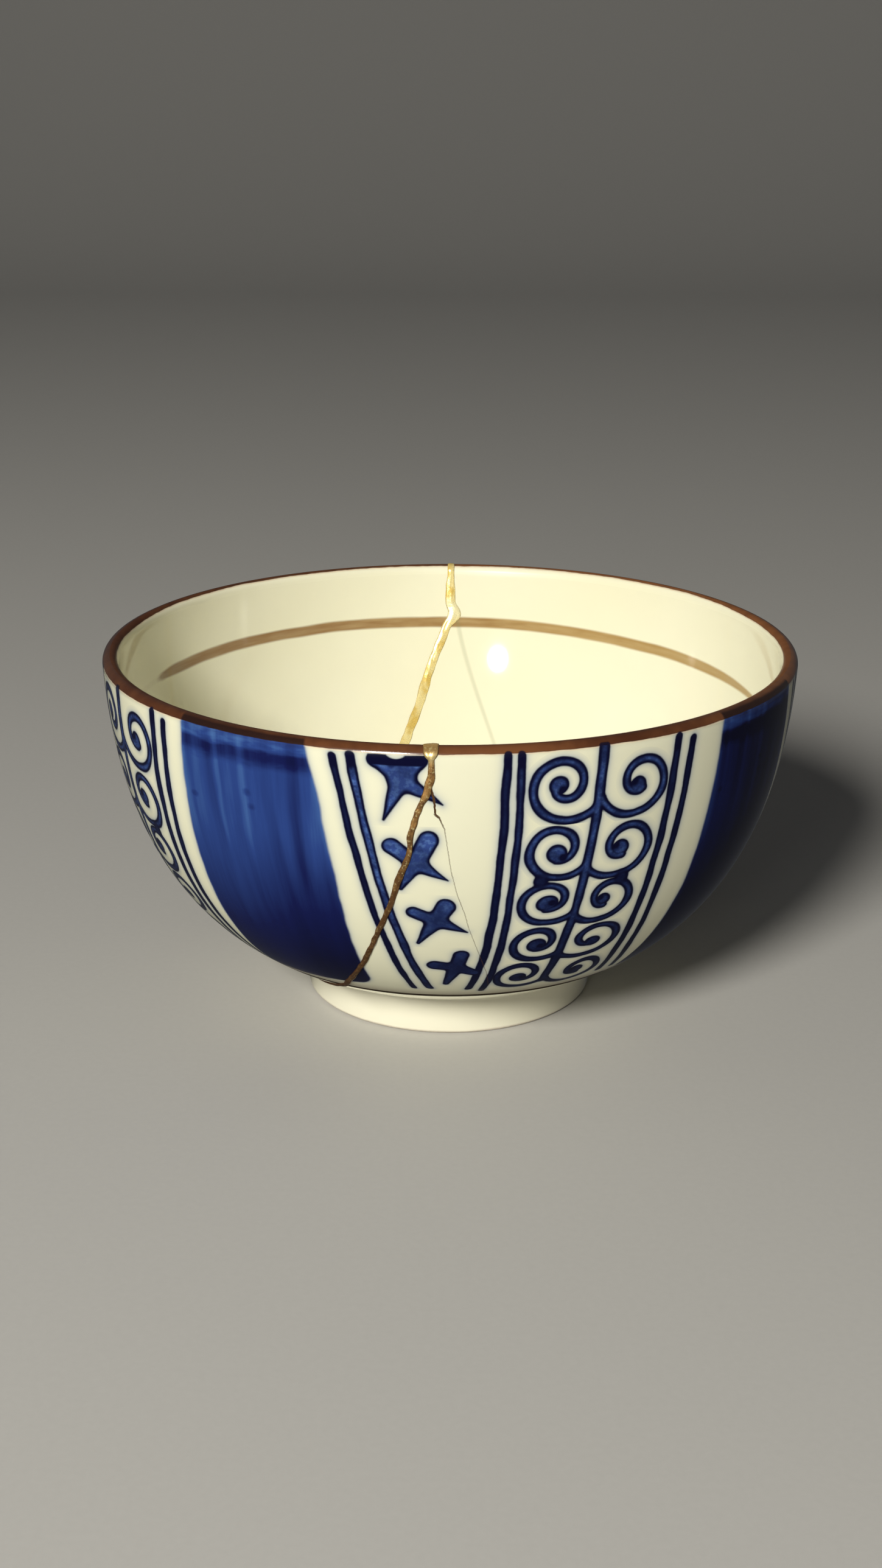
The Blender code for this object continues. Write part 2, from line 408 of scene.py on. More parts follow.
# left, right, top and bottom of each scroll, row by row down the stem
scrollsLeft = {
    "rows": [(11.4, 20.6, 0.64, 11.6), (11.5, 20.1, 11.7, 21.9), (11.0, 19.6, 21.9, 31.6),
             (10.7, 19.3, 32.0, 42.1), (9.0, 18.4, 42.6, 54.8)],
    "way": 1,
    "pitch": 3.5,  # how much of the radius each turn takes
    "turns": [1.20, 1.0, 1.0, 1.0, 1.0],
    "flare": 3.8,  # how much faster it opens before its foot
    # where each row's bud is, across and up, and its radius
    "bud": [(-0.83, 0.11, 1.58), (0.0, -0.82, 1.75), (-0.1, -0.45, 1.80), (0.0, -0.70, 1.90),
            (-0.3, -0.9, 1.85)],
    # and where its ink lies darkest
    "pool": [(-0.15, -0.72), (1.1, -1.6), (0.8, -0.5), (0.9, -1.0), (0.7, -1.0)],
}
scrollsRight = {
    "rows": [(26.3, 34.5, 1.9, 11.9), (24.6, 33.2, 12.5, 22.9), (23.65, 31.9, 22.9, 32.6),
             (23.3, 32.6, 32.9, 43.0), (24.6, 33.1, 44.05, 55.5)],
    "way": -1,
    "pitch": 3.95,
    "turns": [1.06, 0.98, 0.97, 1.0, 1.0],
    "flare": 5.0,
    "bud": [(0.44, -0.82, 1.52), (0.6, -0.35, 1.50), (0.7, -0.25, 1.40), (-0.2, -1.1, 1.50),
            (0.5, 0.0, 1.60)],
    "pool": [(1.20, 0.0), (1.5, 0.3), (1.4, 0.3), (1.2, -0.3), (1.3, 0.3)],
}
scrollShape = {
    "half": 0.78,  # of the stroke's width
    "start": 5.6,  # the curl's radius at its foot
    "join": -0.20,  # turns before the foot, inside the stem
    "melt": 0.75,  # how far strokes run together where they meet
    "budMelt": 0.25,
}
inkDrops = [(14.5, 21.65, 1.25), (28.8, 23.05, 1.25)]  # bearing, drop and radius

# each star's middle, then its round left and right petals and its pointed right and left
# ones, each by its end and half its width there
stars = [
    ((-6.9, 3.6), (-11.9, 0.1, 0.90), (-3.3, 0.1, 0.90), (-0.9, 7.5, 0.12), (-9.9, 10.3, 0.20)),
    ((-5.2, 17.5), (-9.9, 13.8, 1.52), (-2.4, 12.0, 1.70), (-0.1, 20.8, 0.12), (-7.7, 22.9, 0.35)),
    ((-2.1, 29.2), (-7.0, 27.0, 1.26), (0.2, 24.6, 1.68), (3.2, 32.1, 0.16), (-5.6, 35.3, 0.35)),
    ((1.3, 42.9), (-4.2, 41.8, 1.52), (2.5, 37.2, 1.55), (6.2, 45.6, 1.20), (-0.7, 51.1, 0.60)),
]
starShape = {
    "middleHalves": (1.32, 1.45, 1.70, 1.70),
    "melt": 1.1,
    "bar": (-10.9, -4.3, 0.85, 0.95),  # over the first: left, right, drop and half
    "dip": (-7.75, -1.45, 1.92),  # in its top: bearing, drop and radius
    "body": (-6.9, 3.2, 2.2),  # and in its middle
}

brushShape = {
    "wander": (0.6, 0.5),  # degrees across and down
    "swells": ((0.20, 0.42), (1.2, 0.06)),  # scale and reach
    "thinnerBelow": 0.12,
    "bleed": 0.67,  # how much of the glaze's warmth goes beside a stroke
    "bleedFall": 0.125,  # and what is left of that a degree away
}

bandShape = {
    "left": [(0, -44.3), (4, -45.0), (20, -45.4), (30, -46.1), (50, -46.9)],
    "right": [(0, -21.4), (5, -20.1), (11.5, -19.0), (25.8, -18.2), (40.7, -17.1), (54, -16.6)],
    "bottom": [(-46, 57.0), (-33, 56.4), (-20, 54.0), (-16, 52.6)],
    "corner": 3.4,
    "light": 0.63,  # the wash's place on the band's colours at the top
    # how much darker the wash is painted lower down, as painted shade
    "paintedShadeBelow": 0.46,
    # bearing, half width, the drop it fades at, and how much paler it is
    "streaks": [(-44.4, 0.8, 28.0, 0.10), (-41.9, 1.0, 22.0, 0.08), (-39.0, 0.7, 17.0, -0.08),
                (-37.4, 0.5, 23.0, 0.15), (-32.6, 0.7, 25.0, 0.12), (-28.0, 1.6, 30.0, -0.08),
                (-23.6, 1.0, 30.0, -0.18), (-19.9, 1.3, 24.0, 0.10)],
    "smudges": [(-31.4, 11.1), (-31.9, 8.7), (-43.0, 11.4)],
}

crackShape = {
    "line": [  # drop, bearing
        (4.6, -2.7), (6.9, -2.2), (9.0, -2.05), (9.7, -1.45), (11.5, -0.7), (14.4, -0.3),
        (19.0, 0.3), (23.6, 1.3), (27.8, 2.6), (31.0, 3.3), (38.2, 5.4), (45.2, 7.4), (53.0, 8.7),
    ],
    "half": 0.06,
    "wider": 0.10,  # near the seam
    "chip": (-1.78, 9.35),
}


def beyond(value, low, high):
    # how far outside a range a value is
    return (low - value).atLeast(value - high).atLeast(0.0)


def lineMiddle(drop, line):
    return drop.curve(*zip(*line), 3)


def downStroke(bearing, drop, middle, half, top, bottom):
    # how far outside a long stroke a place is, in degrees
    return distance(bearing - middle, beyond(drop, top, bottom)) - half


def rowOf(drop, edges):
    # which row a drop is in, counted from the top
    row = drop.math("GREATER_THAN", edges[0])
    for edge in edges[1:]:
        row = row + drop.math("GREATER_THAN", edge)
    return row


def byRow(row, values):
    # each row's own value, from one curve through them all
    return row.curve(range(len(values)), values, len(values) - 1)


def byRows(row, table):
    return [byRow(row, values) for values in zip(*table)]


def scrolls(bearing, drop, curl, stemMiddle):
    # curls that leave the stem at their foot, wind in and end in a bud; and the ink's pool
    shape = scrollShape
    start, half, pitch, way = shape["start"], shape["half"], curl["pitch"], curl["way"]
    edges = [(upper[3] + lower[2]) / 2 for upper, lower in zip(curl["rows"], curl["rows"][1:])]
    row = rowOf(drop, edges)
    left, right, top, bottom = byRows(row, curl["rows"])
    wide = (right - left - 2 * half) * (1 / (2 * start - pitch))
    tall = (bottom - top - 2 * half) * (1 / (2 * start - pitch / 2))
    side = left if way > 0 else right
    middle = side + (wide * (start - pitch / 4) + half) * way
    level = top + half + tall * (start - pitch / 2)
    across = (bearing - middle) * way / wide
    up = (level - drop) / tall
    turn = (-across).math("ARCTAN2", -up) * (1 / math.tau)
    reach = distance(across, up)
    ring = ((start - reach) * (1 / pitch) - turn).math("ROUND")
    turns = byRow(row, curl["turns"])
    along = (turn + ring).atLeast(shape["join"]).atMost(turns)
    radius = start - along * pitch - along.atMost(0.0) * curl["flare"]
    angle = along * math.tau
    dx = radius.math("MULTIPLY_ADD", angle.math("SINE"), across)
    dy = radius.math("MULTIPLY_ADD", angle.math("COSINE"), up)
    size = (wide + tall) * 0.5
    stroke = distance(dx, dy) * size - half
    budX, budY, budRadius = byRows(row, curl["bud"])
    bud = distance(across - budX, up - budY) * size - budRadius
    poolX, poolY = byRows(row, curl["pool"])
    pool = distance(across - poolX, up - poolY)
    whole = melt([stroke, bud], shape["budMelt"])
    return whole.atLeast((bearing - stemMiddle) * way), pool


def petal(x, y, tipX, tipY, middleHalf, tipHalf):
    # a tapered stroke from a star's middle to a petal's tip
    length = tipX * tipX + tipY * tipY
    share = ((x * tipX + y * tipY) / length).atLeast(0.0).atMost(1.0)
    half = middleHalf + share * (tipHalf - middleHalf)
    return distance(x - share * tipX, y - share * tipY) - half


def starLeaves(bearing, drop):
    # how far outside the nearest star a place is, and from its middle: one to a row
    shape = starShape
    edges = [(upper[4][1] + lower[2][1]) / 2 for upper, lower in zip(stars, stars[1:])]
    row = rowOf(drop, edges)
    starX, starY = byRows(row, [middle for middle, *_ in stars])
    x, y = bearing - starX, drop - starY
    petals = []
    for i, middleHalf in enumerate(shape["middleHalves"]):
        tips = []
        for middle, *places in stars:
            away = np.subtract(places[i][:2], middle)
            tips.append((*away * (1 - places[i][2] / np.hypot(*away)), places[i][2]))
        tipX, tipY, half = byRows(row, tips)
        petals.append(petal(x, y, tipX, tipY, middleHalf, half))
    left, right, level, half = shape["bar"]
    petals.append(distance(beyond(bearing, left, right), drop - level) - half)
    bodyX, bodyY, bodyRadius = shape["body"]
    petals.append(distance(bearing - bodyX, drop - bodyY) - bodyRadius)
    dipX, dipY, dipRadius = shape["dip"]
    dip = dipRadius - distance(bearing - dipX, drop - dipY)
    whole = melt(petals, shape["melt"]).atLeast(dip)
    return whole.atLeast(-0.10 - drop), distance(x, y)


def bandOutline(bearing, drop):
    # how far outside the broad washed band a place is
    left, right = (bearing - lineMiddle(drop, bandShape[key]) for key in ("left", "right"))
    floorLine = bearing.curve(*zip(*bandShape["bottom"]), 2)
    corner = bandShape["corner"]
    sideways = right.atLeast(-left) + corner
    downways = drop - floorLine + corner
    outline = distance(sideways.atLeast(0.0), downways.atLeast(0.0))
    return outline + sideways.atLeast(downways).atMost(0.0) - corner


def bandWash(bearing, drop, around, outline):
    # washed on in long strokes, paler at the top, with a dab under the lip
    shape = bandShape
    streak = point(around * 0.50, drop * 0.04).noise(1.0, 3.0)
    fineStreak = point(around * 2.4, drop * 0.10).noise(1.0)
    cross = point(around * 0.24, drop * 0.9).noise(1.0, 3.0)
    brushed = (streak - 0.5) * 0.34 + (fineStreak - 0.5) * 0.09
    for place, half, bottom, paler in shape["streaks"]:
        near = abs(bearing - place + (streak - 0.5) * 1.2).fade(half * 1.7, half * 0.2)
        brushed = brushed + near * drop.fade(bottom, bottom * 0.5) * paler
    # painted shade: the wash darkens down the wall, where the body turns under away from the light
    wash = shape["light"] - drop.fade(13.0, 50.0) * shape["paintedShadeBelow"]
    wash = wash - bearing.fade(-36.0, -25.0) * drop.fade(13.0, 26.0) * 0.14
    # painted shade: the right band, on the side turned from the light, is darker all over
    rightShade = around.fade(40.0, 47.0) * around.fade(112.0, 90.0)
    rightShade = rightShade * (0.35 + drop.fade(0.8, 2.4) * 0.65)
    wash = wash - rightShade * (0.42 + around.fade(46.0, 58.0) * 0.12)
    wash = wash + brushed * (1.0 - drop.fade(16.0, 42.0) * 0.72)
    dabEdge = drop + (cross - 0.5) * 1.8
    wash = wash - dabEdge.fade(1.1, 2.2) * dabEdge.fade(5.0, 2.6) * 0.30
    wash = wash + drop.fade(1.7, 0.8) * (cross - 0.40) * 0.6
    for place, level in shape["smudges"]:
        spot = distance(bearing - place, (drop - level) * 1.3)
        wash = wash - (spot + (cross - 0.5)).fade(1.0, 0.2) * 0.16
    return wash + outline.fade(-0.9, -0.1) * 0.07


def hairCrack(around, drop, brushPlace):
    # wider and darker where it leaves the seam, with a chip where it turns
    shape = crackShape
    low, high = shape["line"][0][0], shape["line"][-1][0]
    span, offset = 20.0, 10.0  # to fit its bearings into a ramp's range
    stops = [((d - low) / (high - low), ((b + offset) / span,) * 3) for d, b in shape["line"]]
    middle = ((drop - low) * (1 / (high - low))).ramp(stops) * span - offset
    jitter = brushPlace.sway(2.2, 0.22)
    half = shape["half"] + drop.fade(14.0, 6.0) * shape["wider"]
    line = (abs(around - middle + jitter) - half).fade(0.05, -0.03)
    line = line * drop.fade(low, low + 0.3) * drop.fade(high, high - 1.0)
    chipX, chipY = shape["chip"]
    across = around - chipX
    chip = distance(across * 0.8, (drop - chipY) * 1.5 - across) + jitter
    strength = 0.56 + drop.fade(12.5, 9.0) * 0.44
    return (line * strength).atLeast(chip.fade(0.48, 0.30) * 0.9)


lipShape = {
    # mm under the rim
    "outsideEdge": 1.02,
    "insideEdge": 0.55,
    "thinnerBehind": 0.40,
    "coat": (1.9, 1.2),  # where the thick glaze over the lip begins, and is full
    "beads": (1.0, 0.42),  # the level of its beaded edge, and half its height
    "wanders": ((60.0, 0.35), (520.0, 0.16)),  # scale, and reach in mm
    # mm above the brown's edge: the stain on the glaze, and how far up the blue darkens it
    "halo": (-0.26, -0.04),
    "overStrokes": (0.60, 0.36),
    "overBand": (1.15, 0.68),
    "navyEdge": (0.50, 0.24),
}
# the last entry is how far up, in mm, the painted shade over the line reaches
footLine = {"radius": 38.2, "half": 0.69, "soft": 0.13, "shadeAbove": 4.0}  # mm


def lipBrown(finish, colour, edge, strokes=None, band=None):
    # the iron-brown edge, thinner and redder where it stops, darker over the blue
    shape, colours, place = lipShape, paintColours, finish.place
    first, second = (place.sway(*wander) for wander in shape["wanders"])
    under = edge - finish.depth + (first + second)
    worn = place.noise(26.0)
    fine = place.noise(380.0)
    brown = (worn * 0.8 + fine * 0.2).fade(0.38, 0.66).mix(colours["brown"],
                                                           colours["brownPale"])
    # lighter, redder brown round the right side
    thin = finish.around.fade(22.0, 75.0) * (0.25 + fine * 0.9)
    tint = thin.mix(brown, colours["brownLighter"])
    dark = under.fade(0.16, 0.05) * 0.5
    halo = under.fade(*shape["halo"]) * 0.45
    if strokes is not None:
        halo = halo * (1.0 - strokes.atLeast(band))
        ran = strokes * under.fade(*shape["overStrokes"])
        ran = ran.atLeast(band * (under + (worn - 0.5) * 0.5).fade(*shape["overBand"]))
        dark = dark.atLeast(ran * 0.92)
    tint = dark.mix(tint, colours["brownDark"])
    if strokes is not None:
        navy = strokes * under.fade(*shape["navyEdge"]) * 0.75
        tint = navy.mix(tint, colours["navy"])
    cover = under.fade(-0.05, 0.09)
    return cover.mix(halo.mix(colour, colours["brownHalo"]), tint), cover


def paintedGlaze():
    finish = Finish("paintedGlaze", {"IOR": 1.45, "Specular IOR Level": 0.34,
                                     "Coat Roughness": 0.20})
    colours = paintColours
    around = finish.around

    # the drop, from the angle under the rim's level
    slope = np.arctan2(rimHeight - wall["outside"][:, 1], wall["outside"][:, 0])
    drop = finish.depth.math("ARCTAN2", finish.radius).curve(slope, wall["drop"], 6)

    # fold the four repeats on to the front one
    quarter = ((around - repeat["from"]) * (1 / repeat["span"])).math("FLOOR")
    onLeft = quarter.math("COMPARE", -1.0, 0.1)
    bearing = around - quarter * repeat["span"] - onLeft * repeat["leftDrift"]

    # the brush's own wander, and strokes that swell and shrink
    brushPlace = point(around, drop)
    swayX, swayY, _ = brushPlace.noise(0.13, 1.0, 1).parts()
    wide, narrow = (brushPlace.sway(*swells, 1.0) for swells in brushShape["swells"])
    swell = wide + narrow - drop.fade(20.0, 50.0) * brushShape["thinnerBelow"]
    a = bearing + (swayX - 0.5) * brushShape["wander"][0]
    h = drop + (swayY - 0.5) * brushShape["wander"][1]

    lines = {}
    for line, half, top, bottom, pale in longLines:
        stroke = downStroke(a, h, lineMiddle(h, line), half, top, bottom)
        lines.setdefault(pale, []).append(stroke)
    lines = {pale: nearest(strokes) + swell for pale, strokes in lines.items()}
    stemLine, *stemEnds = stem
    stemMiddle = lineMiddle(h, stemLine)
    leftCurls, leftPool = scrolls(a, h, scrollsLeft, stemMiddle)
    rightCurls, rightPool = scrolls(a, h, scrollsRight, stemMiddle)
    vine = [downStroke(a, h, stemMiddle, *stemEnds), leftCurls, rightCurls]
    drops = [distance(a - x, h - y) - size for x, y, size in inkDrops]
    vineEdge = melt(vine + drops, scrollShape["melt"]) + swell * 0.8
    starEdge, starReach = starLeaves(a, h)
    starEdge = starEdge + swell * 0.5
    edge = nearest([*lines.values(), vineEdge, starEdge])
    bandEdge = bandOutline(a, h) + swell

    # glaze, cooler close to the blue
    cloud = finish.place.noise(45.0, 3.0)
    glaze = cloud.mix(scaled(colours["glaze"], 0.96), colours["glaze"])
    clear = 1.0
    for stroke in (*lines.values(), vineEdge, starEdge, bandEdge):
        bled = brushShape["bleedFall"] ** stroke.atLeast(0.0)
        clear = (1.0 - bled * brushShape["bleed"]) * clear
    glaze = (1.0 - clear).mix(glaze, colours["glazeCool"])

    # strokes: dark where the ink dried at the edges and in its pools, paler between
    pool = brushPlace.noise(0.40, 3.0)
    grainy = brushPlace.noise(2.6, 2.0)
    light = 0.35 + (pool * 0.75 + grainy * 0.25).fade(0.36, 0.62) * 0.65
    begun = (h + pool * 1.5).fade(2.6, 3.6)
    begunVine = 0.5 + h.fade(0.6, 2.4) * 0.5
    pooled = leftPool.atMost(rightPool).fade(0.45, 1.15)
    pooled = pooled * (1.0 - nearest(drops).fade(0.7, -0.1) * 0.8)
    core = vineEdge.fade(-0.26, -0.78) * light * pooled * begunVine * 0.74
    for pale, lineEdge in lines.items():
        core = core.atLeast(lineEdge.fade(-0.24, -0.62) * light * begun * pale)
    tipLight = 0.62 + (starReach + pool * 3.0).fade(2.6, 6.6) * 0.55
    starCore = (starEdge + (pool - 0.5) * 0.8).fade(-0.22, -0.80) * (0.45 + light * 0.6)
    core = core.atLeast(starCore * tipLight * h.fade(1.40, 1.68))
    # painted shade: lower down the wall the ink's paler middles give way to navy
    core = core * (1.0 - h.fade(12.0, 44.0) * 0.78)
    blot = brushPlace.noise(1.1, 3.0)
    cobalt = (blot.fade(0.44, 0.62) * core).mix(colours["cobalt"], colours["cobaltPale"])
    ink = core.mix(colours["navy"], cobalt)
    cover = edge.fade(0.14, -0.12)
    painted = cover.mix(glaze, ink)

    bandCover = bandEdge.fade(0.26, -0.30)
    painted = bandCover.mix(painted, bandWash(a, h, around, bandEdge).ramp(colours["band"]))

    # the dark dry line where the body turns under to the foot, and painted shade on the glaze
    # above it
    above = finish.radius - footLine["radius"] + finish.place.sway(120.0, 0.4)
    shadeAbove = above.fade(footLine["shadeAbove"], 0.4) * above.fade(-0.6, 0.0)
    painted = (shadeAbove * 0.50).mix(painted, colours["footShade"])
    footCover = (abs(above) - footLine["half"]).fade(footLine["soft"], -footLine["soft"])
    finish.cover(footCover * 0.96, "BsdfDiffuse", {"Color": colours["footLine"]})

    crack = hairCrack(around, drop, brushPlace)
    painted = crack.mix(painted, colours["crack"])
    painted, lipCover = lipBrown(finish, painted, lipShape["outsideEdge"], cover, bandCover)
    ripple = finish.place.noise(70.0, 1.0)
    finish.drive("Coat Weight", finish.depth.fade(*lipShape["coat"]))
    level, half = lipShape["beads"]
    beads = abs(finish.depth - level).fade(half, 0.10) * finish.place.noise(1400.0)
    return finish.dress(painted, 0.05 + ripple * 0.05 + lipCover * 0.04, 0.35, 0.6,
                        ripple * 0.06 - crack * 0.12 + beads * 0.30)


# Plain inside, foot and broken edges

insideShape = {
    # painted light: the same glaze as outside, given a brighter copy here, where the inside
    # gathers more light
    "glaze": (0.915, 0.890, 0.690),
    "glazeWarm": (0.885, 0.855, 0.640),
    "ring": (0.425, 0.258, 0.074),
    "ringDark": (0.265, 0.122, 0.028),
    "ringLevel": 49.9,  # mm up
    "ringTilt": 2.1,  # it was banded on a little out of level
    "ringHighSide": -160.0,
    "ringHalf": 1.00,
    "ringStart": 251.6,  # where the brush came down, and its fresh ink
    "ringGap": (24.0, 17.0),  # from there to where it closes
    "fineStreak": (0.20, 0.26, 0.14),
    "greyLineBearing": (179.6, -0.0060, -0.0085),  # at the lip, then its drift with depth in mm
    "greyLineTop": (9, 12),  # the depths it fades in over
    "greyLineEnd": (46, 32),  # and out over
}


def insideGlaze():
    finish = Finish("insideGlaze", {"IOR": 1.45, "Specular IOR Level": 0.42})
    shape = insideShape
    place, height, depth, around = finish.place, finish.height, finish.depth, finish.around
    colour = place.noise(22.0, 3.0).fade(0.35, 0.7).mix(shape["glaze"], shape["glazeWarm"])
    swing360 = around + around.math("LESS_THAN", 0.0) * 360.0

    # ring, heavier where the brush was full
    tilt = ((around - shape["ringHighSide"]) * math.radians(1)).math("COSINE")
    overRing = height - (tilt * shape["ringTilt"] + shape["ringLevel"]) + place.sway(60.0, 0.7)
    patchy = point(around * 0.12, height * 0.9).noise(1.0, 3.0)
    start = shape["ringStart"]
    lifted = swing360 - start + (patchy - 0.5) * 5.0
    tapered = 0.50 + swing360.fade(96.0, 128.0) * 0.50
    tapered = tapered * (1.0 - lifted.fade(-7.0, 2.0) * 0.5)
    full = swing360.fade(110.0, 235.0) * 0.75 + (patchy - 0.5) * 0.9
    full = full + swing360.fade(start - 8.0, start - 1.0) * 0.6
    gap = lifted.fade(-2.0, 2.0) * (swing360 - start).fade(*shape["ringGap"])
    ink = (0.90 + (patchy - 0.5) * 0.2) * (1.0 - gap * 0.92)
    ring = (abs(overRing) - tapered * shape["ringHalf"]).fade(0.28, -0.30) * ink
    touch = distance((swing360 - start + 2.2) * 0.30, overRing) + (patchy - 0.5) * 0.5
    ring = ring.atLeast(touch.fade(1.1, 0.4) * 0.85).atMost(0.97)
    colour = ring.mix(colour, full.fade(0.0, 0.9).mix(shape["ring"], shape["ringDark"]))

    # faint grey line beside the seam
    bearing, drift, bend = shape["greyLineBearing"]
    fineStreak = abs(swing360 - depth.polynomial([bend, drift, bearing])).fade(0.75, 0.10)
    fineStreak = fineStreak * depth.fade(*shape["greyLineTop"]) * depth.fade(*shape["greyLineEnd"])
    colour = (fineStreak * 0.24).mix(colour, shape["fineStreak"])

    # the brown runs thinner along the back
    edge = lipShape["insideEdge"] - abs(around).fade(96.0, 138.0) * lipShape["thinnerBehind"]
    colour = lipBrown(finish, colour, edge)[0]
    ripple = place.noise(60.0, 1.0)
    roughness = 0.045 + ripple * 0.04 + depth.fade(2.4, 1.2) * 0.30
    return finish.dress(colour, roughness, 0.3, 0.5, ripple * 0.05)


def footGlaze():
    finish = Finish("footGlaze", {"IOR": 1.45, "Specular IOR Level": 0.42})
    place = finish.place
    glaze = place.noise(60.0, 3.0).mix((0.80, 0.77, 0.62), (0.86, 0.83, 0.67))
    # the foot ring's underside is wiped bare
    bare = (finish.height + place.sway(150.0, 0.5)).fade(0.75, 0.35)
    grain = place.noise(1500.0, 4.0)
    biscuit = grain.mix((0.60, 0.54, 0.43), (0.76, 0.70, 0.58))
    return finish.dress(bare.mix(glaze, biscuit), 0.08 + bare * 0.6, 0.4, 0.3,
                        bare * grain * 0.25 + place.noise(80.0) * 0.05)


def brokenEdge():
    finish = Finish("brokenEdge", {})
    grain = finish.place.noise(2500.0, 4.0)
    return finish.dress(grain.mix((0.035, 0.022, 0.012), (0.10, 0.06, 0.03)), 0.75, 0.6, 0.1,
                        grain)


shardFinishes = [paintedGlaze(), insideGlaze(), footGlaze(), brokenEdge()]
paintedFace, insideFace, footFace, brokenFace = range(4)

# Shards


def addObject(name, data):
    thing = bpy.data.objects.new(name, data)
    scene.collection.objects.link(thing)
    return thing


def bridge(mesh, near, far, face=0):
    # faces between two rows of vertices
    for a, b, c, d in zip(near, near[1:], far[1:], far):
        mesh.faces.new((a, b, c, d)).material_index = face


def weld(mesh):
    bmesh.ops.remove_doubles(mesh, verts=mesh.verts, dist=bowlShape["weldReach"])
    bmesh.ops.recalc_face_normals(mesh, faces=mesh.faces)
    print("open edges:", sum(not edge.is_manifold for edge in mesh.edges))


def makePiece(name, mesh, finishes):
    print(f"{name}: {len(mesh.faces)} faces")
    data = bpy.data.meshes.new(name)
    mesh.to_mesh(data)
    mesh.free()
    for finish in finishes:
        data.materials.append(finish)
    data.shade_smooth()
    return addObject(name, data)


def fillOutline(outline, step, origin):
    # triangles over a closed outline of bearings and drops, on an even grid within
    low, high = outline.min(0), outline.max(0)
    columns = np.arange(origin, high[0], step)
    columns = np.concatenate((np.arange(origin - step, low[0], -step)[::-1], columns))
    rows = np.arange(step, high[1], step)
    grid = np.stack(np.meshgrid(columns, rows), -1).reshape(-1, 2)
    x, y = grid.T
    within = np.zeros(len(grid), bool)
    clear = np.full(len(grid), np.inf)
    for (ax, ay), (bx, by) in zip(outline, np.roll(outline, -1, axis=0)):
        wide, tall = bx - ax, by - ay
        if tall:
            within ^= ((ay > y) != (by > y)) & (x < ax + (y - ay) * wide / tall)
        t = (((x - ax) * wide + (y - ay) * tall) / (wide * wide + tall * tall)).clip(0, 1)
        clear = np.minimum(clear, np.hypot(x - ax - t * wide, y - ay - t * tall))
    points = np.vstack((outline, grid[within & (clear > step * bowlShape["clearance"])]))
    count = len(outline)
    edges = [(i, (i + 1) % count) for i in range(count)]
    made = delaunay_2d_cdt([Vector(point) for point in points], edges, [], 1, 1e-7)
    source = [origins[0] for origins in made[3]]
    return points, [[source[i] for i in face] for face in made[2]]


def lipArc(bearing):
    # the round of the lip at a bearing, between its outside and inside edges
    outside, inside, outward = (part[0] for part in wallAt(np.zeros(1)))
    lean = math.degrees(math.atan2(outward[1], outward[0]))
    steps = bowlShape["lipSteps"]
    points = arc((outside + inside) / 2, bowlShape["lipRadius"], lean, lean + 180, steps)
    return swing(points[1:-1], np.full(steps - 1, bearing))


def underRings(gap=0.0):
    # the end of the wall, under the triangles: its outside and inside outline points
    first = bowlShape["lowestTriangle"] + bowlShape["ringStep"]
    return wallAt(np.arange(first, wall["drop"][-1] - gap, bowlShape["ringStep"]))[:2]


def outerRings():
    # outline points under the triangles: the end of the wall, the foot and its recess
    foot = footShape
    edge, fillet, hollowFillet = foot["edge"], foot["fillet"], foot["recessFillet"]
    neck = foot["radius"] - foot["flare"] + fillet
    end, handle = (np.array(bowlShape[key]) * (rimRadius, rimHeight)
                   for key in ("wallEnd", "lowerHandle"))
    slope = math.atan2(handle[1] - end[1], handle[0] - end[0])
    top = end[1] + (neck - end[0]) * math.tan(slope)
    inner = foot["radius"] - foot["ringWidth"]
    hollow = inner - foot["flare"] - hollowFillet
    steps = foot["roundSteps"]
    rounds = [arc(*part) for part in (
        ((neck, top - fillet / math.cos(slope)), fillet, 90 + math.degrees(slope), 180,
         foot["filletSteps"]),
        ((foot["radius"] - edge, edge), edge, 0, -90, steps),
        ((inner + edge, edge), edge, -90, -180, steps),
        ((hollow, foot["recessDepth"] - hollowFillet), hollowFillet, 0, 90, steps))]
    share = np.linspace(1, 0, foot["crownSteps"] + 1)[1:]
    rise = foot["recessDepth"] + foot["recessCrown"] * (1 - share ** 2)
    under = underRings()[0]
    under = under[under[:, 0] > rounds[0][0][0] + 0.3 * mm]
    return under, np.vstack((*rounds, np.stack((hollow * share, rise), 1)))


def innerRings():
    # outline points inside, under the triangles: the end of the wall and the floor
    corner = wall["inside"][-1]
    share = np.linspace(1, 0, bowlShape["floorSteps"] + 1)
    floor = bowlShape["floorHeight"]
    bottom = np.stack((corner[0] * share, floor + (corner[1] - floor) * share ** 2), 1)
    return np.vstack((underRings(0.3)[1], bottom))


def carryOn(mesh, ring, bearings, outline, face):
    # more rings of faces from an open ring, to the axis if the outline ends there
    for point in outline:
        if point[0] < 0.01 * mm:
            tip = mesh.verts.new((0, 0, point[1]))
            for near, far in zip(ring, ring[1:]):
                mesh.faces.new((near, far, tip)).material_index = face
            return ring
        places = swing(np.tile(point, (len(bearings), 1)), bearings)
        below = [mesh.verts.new(place) for place in places]
        bridge(mesh, ring, below, face)
        ring = below
    return ring


